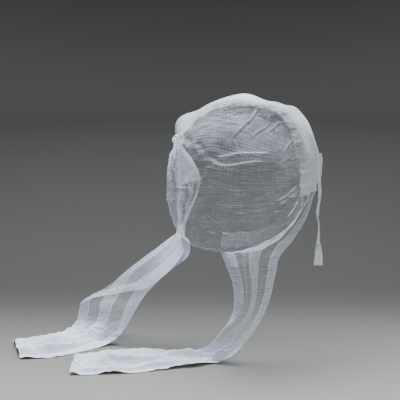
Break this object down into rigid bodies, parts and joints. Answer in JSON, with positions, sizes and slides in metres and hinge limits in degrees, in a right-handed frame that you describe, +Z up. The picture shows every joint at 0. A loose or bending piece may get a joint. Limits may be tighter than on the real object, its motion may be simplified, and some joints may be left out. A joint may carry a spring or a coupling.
{
  "type": "sheer cap with streamers",
  "caption": "White sheer muslin cap with a soft gathered crown, a doubled face band, two long hemmed streamers and narrow ties.",
  "frame": {"origin": "head_seat, where the inside of the crown bears on the top of the head", "axes": "+Z up, the wearer faces -Y, the wearer's right is -X"},
  "size_m": [0.437, 0.3131, 0.3885],
  "materials": {
    "sheer_cloth": "sheer white muslin, open plain weave",
    "doubled_cloth": "white muslin, doubled"
  },
  "bodies": {
    "root": {"crown": "sheer_cloth", "front_band": "doubled_cloth", "crown_binding": "doubled_cloth", "streamer_right": "sheer_cloth", "streamer_left": "sheer_cloth", "tie_right": "doubled_cloth", "tie_left": "doubled_cloth", "gather_knot": "doubled_cloth"}
  },
  "joints": []
}
